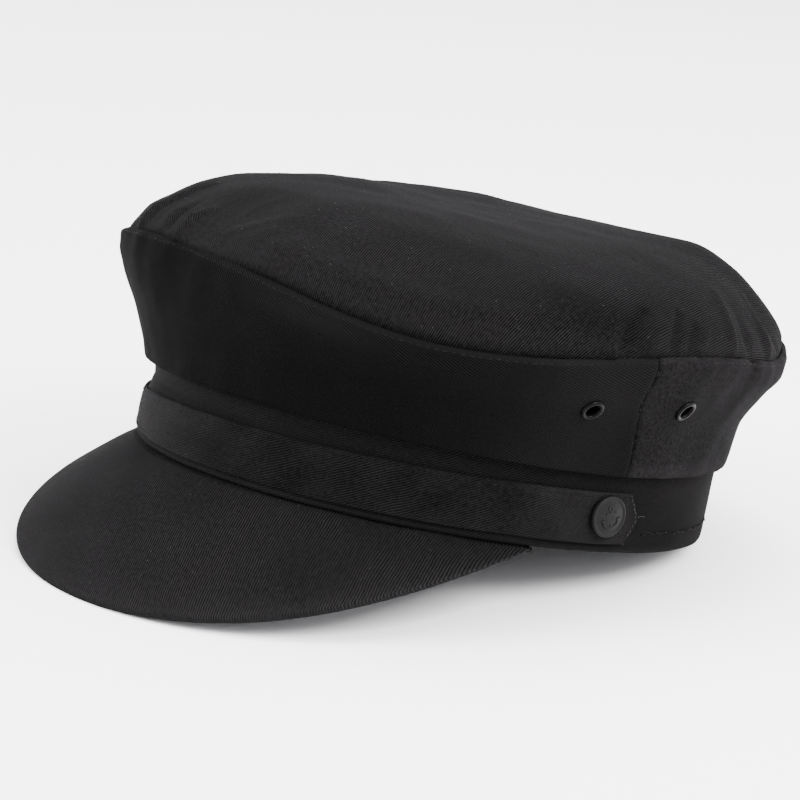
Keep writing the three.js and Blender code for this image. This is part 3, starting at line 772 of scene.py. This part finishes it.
# Painted highlight along the back panel's hem.
hem_painted_highlight = 0.4 * line_dent(wall_rises - 0.05, 0.04)
wall_twill = twill("side wall twill", WALL_SHADED_BLACK, -36, depth=0.9, sheen=0.002, fuzz=0.5, mottle=0.3)
back_twill = twill("back panel twill", BACK_LIT_BLACK, -38, depth=0.1, fuzz=2.4, mottle=1.25)
margin = SIDE_SEAM_GAP / SIDE_RADIUS
for label, is_front in (("front", True), ("back", False)):
    seam_turns = side_seam_line(wall_rises) + (-margin if is_front else margin)
    starts, ends = (-seam_turns, seam_turns) if is_front else (seam_turns, FULL_TURN - seam_turns)
    panel_turns = starts + (ends - starts) * np.linspace(0, 1, ROUND_STEPS // 2)[:, None]
    panel_outside = wall_point(panel_turns, wall_rises[None])
    panel_inside = lining(panel_outside, CLOTH_WALL, False)[:, ::-1]
    # The panels are cut on a slight curve, so the wales turn as they go round the head.
    along = run_lengths(panel_outside[:, 20:21], 0)
    along = (along - along[-1] / 2) / WALL_CURVE
    radius = WALL_CURVE + run_lengths(panel_outside, 1)
    panel_weave = np.stack([radius * np.sin(along), radius * np.cos(along)], -1)
    panel_weave = np.concatenate([panel_weave, panel_weave[:, ::-1], panel_weave[:, :1]], 1)
    wear_and_light = seam_worn if is_front else seam_worn + hem_painted_highlight
    # On the front panel, painted light: lighter towards both side seams, and a pool of light just under the
    # crown seam on the wearer's left. The seam line itself is paler where it is worn.
    wear_and_light = wear_and_light + is_front * 0.6 * line_dent(np.abs(panel_turns) - 1.35, 0.28)
    wear_and_light = wear_and_light + is_front * 0.6 * line_dent(panel_turns - 0.48, 0.2) * line_dent(wall_rises - 0.86, 0.1)
    panel = cloth(f"side_wall_{label}", np.concatenate([panel_outside, panel_inside], 1), False,
                  panel_weave, np.concatenate([wear_and_light, 0 * wear_and_light], 1))
    punched(panel, [eyelet_seat(side, is_front) for side in (1, -1)])
    fitted(panel, wall_twill if is_front else back_twill, "crown_twill", f"crown_{label}_panel")

full_circle = np.linspace(0, FULL_TURN, 721)
seam_height = SIDE_HEIGHT * round_head(SEAM_RISE, full_circle) + seam_lift(full_circle)
sew("stitches_crown_seam", [wall_point(full_circle, 1 - SEAM_STITCH / seam_height)], worn_thread,
    "crown_twill", pitch=2.7, length=1.8, width=0.34, loose=0.12, seed=6)
seam_rises = np.linspace(0.03, 0.97, 60)
side_seams = [wall_point(side * side_seam_line(seam_rises), seam_rises) for side in (1, -1)]
sew("fuzz_side_seams", side_seams, bright_thread, "crown_twill", pitch=1.1, length=0.8, width=0.1,
    loose=0.35, seed=8)

# Top of the crown
# A soft oval panel of twill, a little fuller than the seam it is sewn to, so that it puffs up from the
# seam and falls in folds at the front left and gathers above the side and rear seam.
# Tone of the top's black twill: painted light, lighter than on the side wall under it.
TOP_LIT_BLACK = 0.0033
TOP_EDGE_DIP = 1.0
TOP_PINCH = 1.1
TOP_FULLNESS = 1.15
RIGHT_HOLLOW = 2.6
# Way in from the seam, then the climb from the seam to the middle at the same five angles.
TOP_SHAPE = np.array([
    (0.0, 0.0, 0.0, 0.0, 0.0, 0.0),
    (0.04, 0.33, 0.35, 0.29, 0.24, 0.25),
    (0.1, 0.52, 0.48, 0.48, 0.48, 0.54),
    (0.2, 0.73, 0.68, 0.68, 0.8, 0.83),
    (0.33, 0.89, 0.85, 0.84, 0.99, 1.0),
    (0.5, 0.98, 0.95, 0.94, 1.04, 1.05),
    (0.72, 1.01, 1.0, 0.99, 1.02, 1.02),
    (1.0, 1.0, 1.0, 1.0, 1.0, 1.0)])
# Across, along, width and height of the soft hills and hollows of the resting cloth.
SOFT_HILLS = ((-60, -66, 16, 0.3), (-46, -52, 18, -0.3), (-33, -33, 20, 1.7), (-46, -17, 20, 0.8),
              (-54, 4, 20, 1.1), (-38, 38, 20, 0.6), (-29, 51, 20, -1.3), (23, 63, 20, 0.9),
              (38, 67, 16, 2.6), (54, 77, 12, 1.0))
TOP_FOLDS = ((3, 5, 0.3, -0.8), (14, 7, 0.45, 0.3), (99, 4, 0.2, -0.25), (133, 4, 0.24, -0.3),
             (152, 7, 0.4, -0.4))
# Where each crease starts and ends, its width and its height: first in front, then on the left side.
CREASES = ((-48, -100, -36, -80, 1.2, 2.3), (-54, -92, -45, -76, 2.5, -2.2),
           (-18, -104, -13, -95, 1.3, 2.2), (-12, -106, -11, -103, 1.3, -3.0),
           (5, -104, -3, -96, 4, -1.6), (4, -100, 20, -87, 2.4, 1.0),
           (-27, -101, -24, -95, 2.2, -1.8), (22, -99, 30, -88, 3, -0.8),
           (106, -19, 98, -7, 2.2, -4.4), (107, -25, 100, -14, 2.2, 1.2),
           (106, -9, 101, -2, 2.0, 1.4), (107, 0, 96, 9, 1.7, -2.8),
           (106, 8, 99, 14, 1.3, -2.4), (105, 13, 97, 20, 1.6, 1.2),
           (101, 31, 78, 39, 1.8, 1.5), (94, 42, 82, 45, 2.5, -1.2),
           (88, 59, 67, 62, 1.8, 1.5))


def crease_lift(points):
    """How far the creases lift the cloth."""
    lift = 0
    for x0, y0, x1, y1, width, rise in CREASES:
        start, way = np.array([x0, y0]), np.array([x1 - x0, y1 - y0])
        share = np.clip(((points[..., :2] - start) @ way) / (way @ way), 0, 1)
        aside = np.linalg.norm(points[..., :2] - start - share[..., None] * way, axis=-1)
        fading = 1 - 0.6 * share
        lift = lift + rise * fading * line_dent(aside, width)
    return lift


def top_point(angle, inward):
    """The outside of the top panel, by angle and by the share of the way in from the seam."""
    angle, inward = np.broadcast_arrays(angle, inward)
    seam = wall_point(angle, 1, smooth=True)
    climb = from_table(TOP_SHAPE, inward, angle) * (CROWN_HEIGHT - seam[..., 2])
    plan = seam * (1 - inward)[..., None]
    plan[..., 2] = seam[..., 2] + SEAM_GAP + climb + fold_lift(TOP_FOLDS, angle, inward)
    away = inward * np.hypot(seam[..., 0], seam[..., 1]) * TOP_FULLNESS
    pulled = -TOP_PINCH * np.exp(-away / 0.6) + gathers(angle, away, 51) * (1 - np.exp(-away / 1.2))
    pulled = pulled + crease_lift(plan) * (1 - np.exp(-away / 1.2))
    pulled = pulled - RIGHT_HOLLOW * right_front(angle, 0.6, 0.5) * away / 6 * np.exp(1 - away / 6)
    outwards = np.stack([np.sin(angle), -np.cos(angle), 0.6 + 0 * angle], -1) / 1.17
    plan = plan + outwards * pulled[..., None]
    plan[..., 2] -= TOP_EDGE_DIP * np.exp(-away / 0.5)
    settled = np.clip(away / 12, 0, 1)
    flat = plan * (1, 1, 0)
    plan[..., 2] += settled * (0.15 * unevenness(flat, 62, 53) + 0.16 * unevenness(flat, 22, 54))
    for x, y, width, rise in SOFT_HILLS:
        hill = rise * line_dent(np.hypot(flat[..., 0] - x, flat[..., 1] - y), width)
        plan[..., 2] += hill * np.clip(away / 5, 0, 1)
    return plan


inwards = np.linspace(0, 1, 66) ** 1.5
top_outside = top_point(turns, inwards[None])
top_outside[:, -1] = top_outside[:, -1].mean(0)
top_inside = lining(top_outside, CLOTH_WALL, True)[:, ::-1]
to_middle = run_lengths(top_outside[:, ::-1], 1)[:, ::-1]
ways_out = np.concatenate([np.sin(turns), -np.cos(turns)], -1)[:, None]
top_weave = ways_out * to_middle[..., None]
top_weave = np.concatenate([top_weave, top_weave[:, ::-1], top_weave[:, :1]], 1)
top_weave = np.concatenate([top_weave, top_weave[:1]], 0)
# Paler in a narrow ring just inside the crown seam, where the cloth is worn; a thin painted shade line right
# at the seam, where its groove is shaded; and, near the seam, painted light towards the front and painted
# shade towards the wearer's left side.
top_wear_and_light = 0.3 * line_dent(inwards - 0.014, 0.02) - 0.8 * line_dent(inwards, 0.0045)
facing = off_front(turns)
painted_light_front_shade_side = 0.3 * line_dent(facing - 0.1, 0.5) - 0.3 * line_dent(facing - 1.4, 0.35)
top_wear_and_light = top_wear_and_light + painted_light_front_shade_side * line_dent(inwards - 0.08, 0.1)
top_twill = twill("top twill", TOP_LIT_BLACK, 117, depth=1.15, mottle=0.9)
top = cloth("top_panel", np.concatenate([top_outside, top_inside], 1), True, top_weave,
            np.concatenate([top_wear_and_light, 0 * top_wear_and_light], 1))
fitted(top, top_twill, "crown_twill", "crown_top")

# Lint
# Short specks of pale fibre that cling to the napped cloth wherever it faces up: many on the top, and
# fewer on the peak.
LINT_LENGTH = 0.0006
LINT_WIDTH = 0.00022
FACES_UP = 0.35


def lint_tree():
    """Specks of fibre strewn on the cloth that faces up, each turned its own way."""
    tree, given = strewing_tree("lint", "Cloth", {
        "Specks per square metre": 4000.0, "Length": 0.0005, "Width": 0.0001})
    normal = add_node(tree, "GeometryNodeInputNormal").outputs[0]
    upward = add_node(tree, "ShaderNodeSeparateXYZ", {"Vector": normal}).outputs["Z"]
    facing_up = reckon(tree, "GREATER_THAN", upward, FACES_UP)
    points = add_node(tree, "GeometryNodeDistributePointsOnFaces", {
        "Mesh": given["Cloth"], "Selection": facing_up, "Density": given["Specks per square metre"],
        "Seed": given["Seed"]})
    turn = add_node(tree, "FunctionNodeRandomValue",
                    {"Max": (FULL_TURN, FULL_TURN, FULL_TURN), "Seed": given["Seed"]},
                    data_type="FLOAT_VECTOR")
    lay_threads(tree, given, points.outputs["Points"], turn.outputs[0], 0.4, 1.4, 1)
    return tree


lint = lint_tree()
pale_lint = thread("pale lint", 0.017, 0.1)
for label, bare, slot, amount, seed in (("top", top, "crown_twill", 17000, 61),
                                        ("peak", peak, "visor_twill", 10000, 62)):
    guide = linked(f"lint_{label}_cloth", bare.data)
    specks = made_by(lint, guide, {"Specks per square metre": amount, "Length": LINT_LENGTH,
                                   "Width": LINT_WIDTH, "Seed": seed, "Thread": pale_lint})
    bpy.data.objects.remove(guide)
    fitted(shown(f"lint_{label}", specks), pale_lint, slot)

# Vent eyelets
# Small rings of black enamelled brass, one on each side of each side seam. The barrel goes through a
# hole punched in the cloth, and the rim is rolled over outside.
EYELET_FLANGE = 3.85
EYELET_LIP = 0.9
EYELET_SEAT = 0.05
BARREL_WALL = 0.5
BARREL_END = 0.6


def enamel(name, black, rough, shine):
    """Painted or darkened metal with faint scratches and wear on its surface."""
    finish, tree, shader = plain_finish(name, {"Specular IOR Level": shine})
    place = add_node(tree, "ShaderNodeTexCoord").outputs["Object"]
    tone_shift = noise(tree, place, 900.0, detail=6.0)
    scratch = noise(tree, place, 260.0, detail=8.0, distortion=2.0)
    toned(tree, shader, tone_shift, black, (1, 1, 1.04), (0.55, 1.5))
    roughened(tree, shader, scratch, rough - 0.1, rough + 0.14)
    embossed(tree, shader, tone_shift, 0.7, 0.00015)
    return finish


lip_turn = np.linspace(0, math.pi, 14)
lip_middle = (EYELET_FLANGE + EYELET_HOLE) / 2
lip_half = (EYELET_FLANGE - EYELET_HOLE) / 2
lip = [(lip_middle + lip_half * math.cos(a), 0.15 + EYELET_LIP * math.sin(a)) for a in lip_turn]
barrel_end = -CLOTH_WALL - BARREL_END
eyelet_profile = lip + [(EYELET_HOLE, barrel_end), (EYELET_HOLE + BARREL_WALL, barrel_end),
                        (EYELET_HOLE + BARREL_WALL, EYELET_SEAT), (EYELET_FLANGE - 0.1, EYELET_SEAT)]
black_enamel = enamel("black enamel", 0.0015, 0.2, 0.035)
for label, side in (("left", 1), ("right", -1)):
    for place, is_front in (("front", True), ("back", False)):
        rings = seated(eyelet_seat(side, is_front), spun(eyelet_profile, 48))
        ring = cloth(f"vent_{label}_{place}", rings, True)
        fitted(ring, black_enamel, "eyelet_enamel", f"eyelet_{label}_{place}")

# Buttons
# Domed metal discs, stamped with a raised rim and a plain anchor in relief, and then darkened. One is
# sewn over each end of the strap.
BUTTON_ANGLE = math.radians(91.5)
BUTTON_RADIUS = 6.7
BUTTON_RISE = 2.4
BUTTON_SHANK = 0.3
BUTTON_ABOVE_MIDDLE = 1.1
# The dome, by way out from its middle, on which the anchor lies.
DOME_OUT = (0, 1.4, 2.6, 3.8, 4.8)
DOME_RISE = (BUTTON_RISE, 2.35, 2.22, 2.02, 1.78)
ANCHOR_HEIGHT = 7.4
ANCHOR_BAR = 0.5
ANCHOR_TILT = math.radians(14)
ANCHOR_FLATNESS = 0.42


def anchor_mesh():
    """An anchor of round bars, flat on the middle of the button, in its own millimetres."""
    half = ANCHOR_HEIGHT / 2
    curve = bpy.data.curves.new("anchor", "CURVE")
    curve.dimensions = "3D"
    curve.bevel_depth = ANCHOR_BAR
    curve.bevel_resolution = 2
    curve.use_fill_caps = True
    arms = np.radians(np.linspace(-158, -22, 17))
    hoop = np.linspace(0, FULL_TURN, 13)[:-1]
    fluke = 0.86 * half
    bars = [
        ([(0, -half), (0, 0.55 * half)], 1.0, False),
        ([(-0.5 * half, 0.36 * half), (0.5 * half, 0.36 * half)], 0.85, False),
        ([(0.2 * half * math.cos(a), 0.76 * half + 0.2 * half * math.sin(a)) for a in hoop], 0.6, True),
        ([(fluke * math.cos(a), fluke * math.sin(a) - 0.1 * half) for a in arms], 1.0, False),
        ([(-0.98 * half, -0.2 * half), (-0.6 * half, -0.32 * half)], 1.1, False),
        ([(0.98 * half, -0.2 * half), (0.6 * half, -0.32 * half)], 1.1, False),
    ]
    for points, thick, closed in bars:
        spline = curve.splines.new("POLY")
        spline.points.add(len(points) - 1)
        spline.use_cyclic_u = closed
        for point, (x, y) in zip(spline.points, points):
            point.co = (x, y, 0, 1)
            point.radius = thick
    holder = linked("anchor", curve)
    mesh = as_modified(holder)
    corners = np.array([v.co for v in mesh.vertices])
    faces = [tuple(p.vertices) for p in mesh.polygons]
    bpy.data.objects.remove(holder)
    return corners, faces


def strap_seat(angle):
    """Where a button sits on the strap, a little above the strap's middle line."""
    def lay(turn, share):
        return outside_band(turn, SEAM_GAP + STRAP_WALL, STRAP_FOOT + STRAP_HEIGHT * share)

    step = 0.02
    along = unit(lay(angle + step, 0.5) - lay(angle - step, 0.5))
    out = np.cross(along, unit(lay(angle, 0.5 + step) - lay(angle, 0.5 - step)))
    upward = np.cross(out, along)
    place = lay(angle, 0.5) + out * BUTTON_SHANK + upward * BUTTON_ABOVE_MIDDLE
    return place, np.stack([along, upward, out])


edge = BUTTON_RADIUS
button_profile = [(0.01, 0), (edge - 0.6, 0), (edge - 0.2, 0.12), (edge, 0.5), (edge, 1.1),
                  (edge - 0.12, 1.45), (edge - 0.35, 1.68), (edge - 0.62, 1.72), (edge - 0.85, 1.64),
                  (edge - 1.02, 1.52), (edge - 1.25, 1.46), (edge - 1.6, 1.52), (edge - 2.4, 1.78),
                  (edge - 3.4, 2.02), (edge - 4.6, 2.22), (edge - 5.8, 2.35), (0.01, BUTTON_RISE)]
anchor_corners, anchor_faces = anchor_mesh()
cos, sin = math.cos(ANCHOR_TILT), math.sin(ANCHOR_TILT)
anchor_corners[:, :2] = anchor_corners[:, :2] @ np.array([(cos, sin), (-sin, cos)])
across_dome = np.hypot(anchor_corners[:, 0], anchor_corners[:, 1])
anchor_corners[:, 2] *= ANCHOR_FLATNESS
anchor_corners[:, 2] += np.interp(across_dome, DOME_OUT, DOME_RISE)
gunmetal = enamel("gunmetal", 0.0041, 0.42, 0.05)
for label, side in (("left", 1), ("right", -1)):
    seat = strap_seat(side * BUTTON_ANGLE)
    button = cloth(f"anchor_button_{label}", seated(seat, spun(button_profile, 72)), True)
    relief = bpy.data.meshes.new("relief")
    relief.from_pydata(on_table(seated(seat, anchor_corners)).tolist(), [], anchor_faces)
    both = bmesh.new()
    both.from_mesh(button.data)
    both.from_mesh(relief)
    both.to_mesh(button.data)
    both.free()
    button.data.polygons.foreach_set("use_smooth", [True] * len(button.data.polygons))
    fitted(button, gunmetal, "button_metal", f"button_{label}")

# Table, light and camera
# A pale table top under soft studio light from above and from the right, and the view of the cap from
# its front left, a little above it.
TABLE_TONE = 0.9
TABLE_HALF = 6
STUDIO_WHITE = (0.965, 0.96, 1, 1)
LAMP_WHITE = (1.0, 0.95, 0.955)
VIEW_AZIMUTH = math.radians(53.388)
VIEW_ELEVATION = math.radians(14.455)
VIEW_ROLL = math.radians(3.116)
VIEW_DISTANCE = 1.1
VIEW_LENS = 148.5
VIEW_SENSOR = 36
# How far the middle of the picture lies right of and above the middle of the cap, in metres.
VIEW_RIGHT = -0.008619
VIEW_UP = 0.043482


def area_light(name, place, aim, size, power):
    """A soft lamp of a given size in metres, turned to shine at a point."""
    lamp = bpy.data.lights.new(name, "AREA")
    lamp.shape = "RECTANGLE"
    lamp.size, lamp.size_y = size
    lamp.energy = power
    lamp.color = LAMP_WHITE
    holder = linked(name, lamp)
    holder.location = place
    holder.rotation_euler = (Vector(aim) - Vector(place)).to_track_quat("-Z", "Y").to_euler()


table_mesh = bpy.data.meshes.new("table")
table_mesh.from_pydata([(TABLE_HALF * x, TABLE_HALF * y, 0) for x, y in ((-1, -1), (1, -1), (1, 1), (-1, 1))],
                       [], [(0, 1, 2, 3)])
table = linked("table_top", table_mesh)
table_mesh.materials.append(plain_finish("pale table", {
    "Base Color": (TABLE_TONE, TABLE_TONE, TABLE_TONE, 1), "Roughness": 0.8, "Specular IOR Level": 0.1})[0])

world = bpy.data.worlds.new("studio")
world.use_nodes = True
backdrop = world.node_tree.nodes["Background"]
backdrop.inputs["Color"].default_value = STUDIO_WHITE
backdrop.inputs["Strength"].default_value = 3.0
bpy.context.scene.world = world
area_light("overhead", (-0.2, 0.3, 1.9), (0, 0, 0.05), (1.8, 1.4), 90)
area_light("right", (1.35, 0.35, 1.2), (0, 0, 0.05), (1.0, 0.8), 85)
area_light("front_left", (-0.75, -1.35, 1.1), (0, 0, 0.05), (1.0, 0.8), 45)
area_light("right_side", (0.9, 1.1, 0.7), (0, 0, 0.06), (0.9, 0.7), 7)

back = Vector((math.sin(VIEW_AZIMUTH) * math.cos(VIEW_ELEVATION),
               -math.cos(VIEW_AZIMUTH) * math.cos(VIEW_ELEVATION), math.sin(VIEW_ELEVATION)))
right = Vector((math.cos(VIEW_AZIMUTH), math.sin(VIEW_AZIMUTH), 0))
up = back.cross(right)
cap_middle = Vector((0, REST_PLACE[1] / 1000, 0))
aim = right * VIEW_RIGHT + up * VIEW_UP + cap_middle
across_view = right * math.cos(VIEW_ROLL) + up * math.sin(VIEW_ROLL)
up_view = up * math.cos(VIEW_ROLL) - right * math.sin(VIEW_ROLL)
camera_data = bpy.data.cameras.new("camera")
camera_data.lens = VIEW_LENS
camera_data.sensor_width = VIEW_SENSOR
camera = linked("camera", camera_data)
ways = Matrix((across_view, up_view, back)).transposed().to_4x4()
camera.matrix_world = Matrix.Translation(aim + back * VIEW_DISTANCE) @ ways
bpy.context.scene.camera = camera
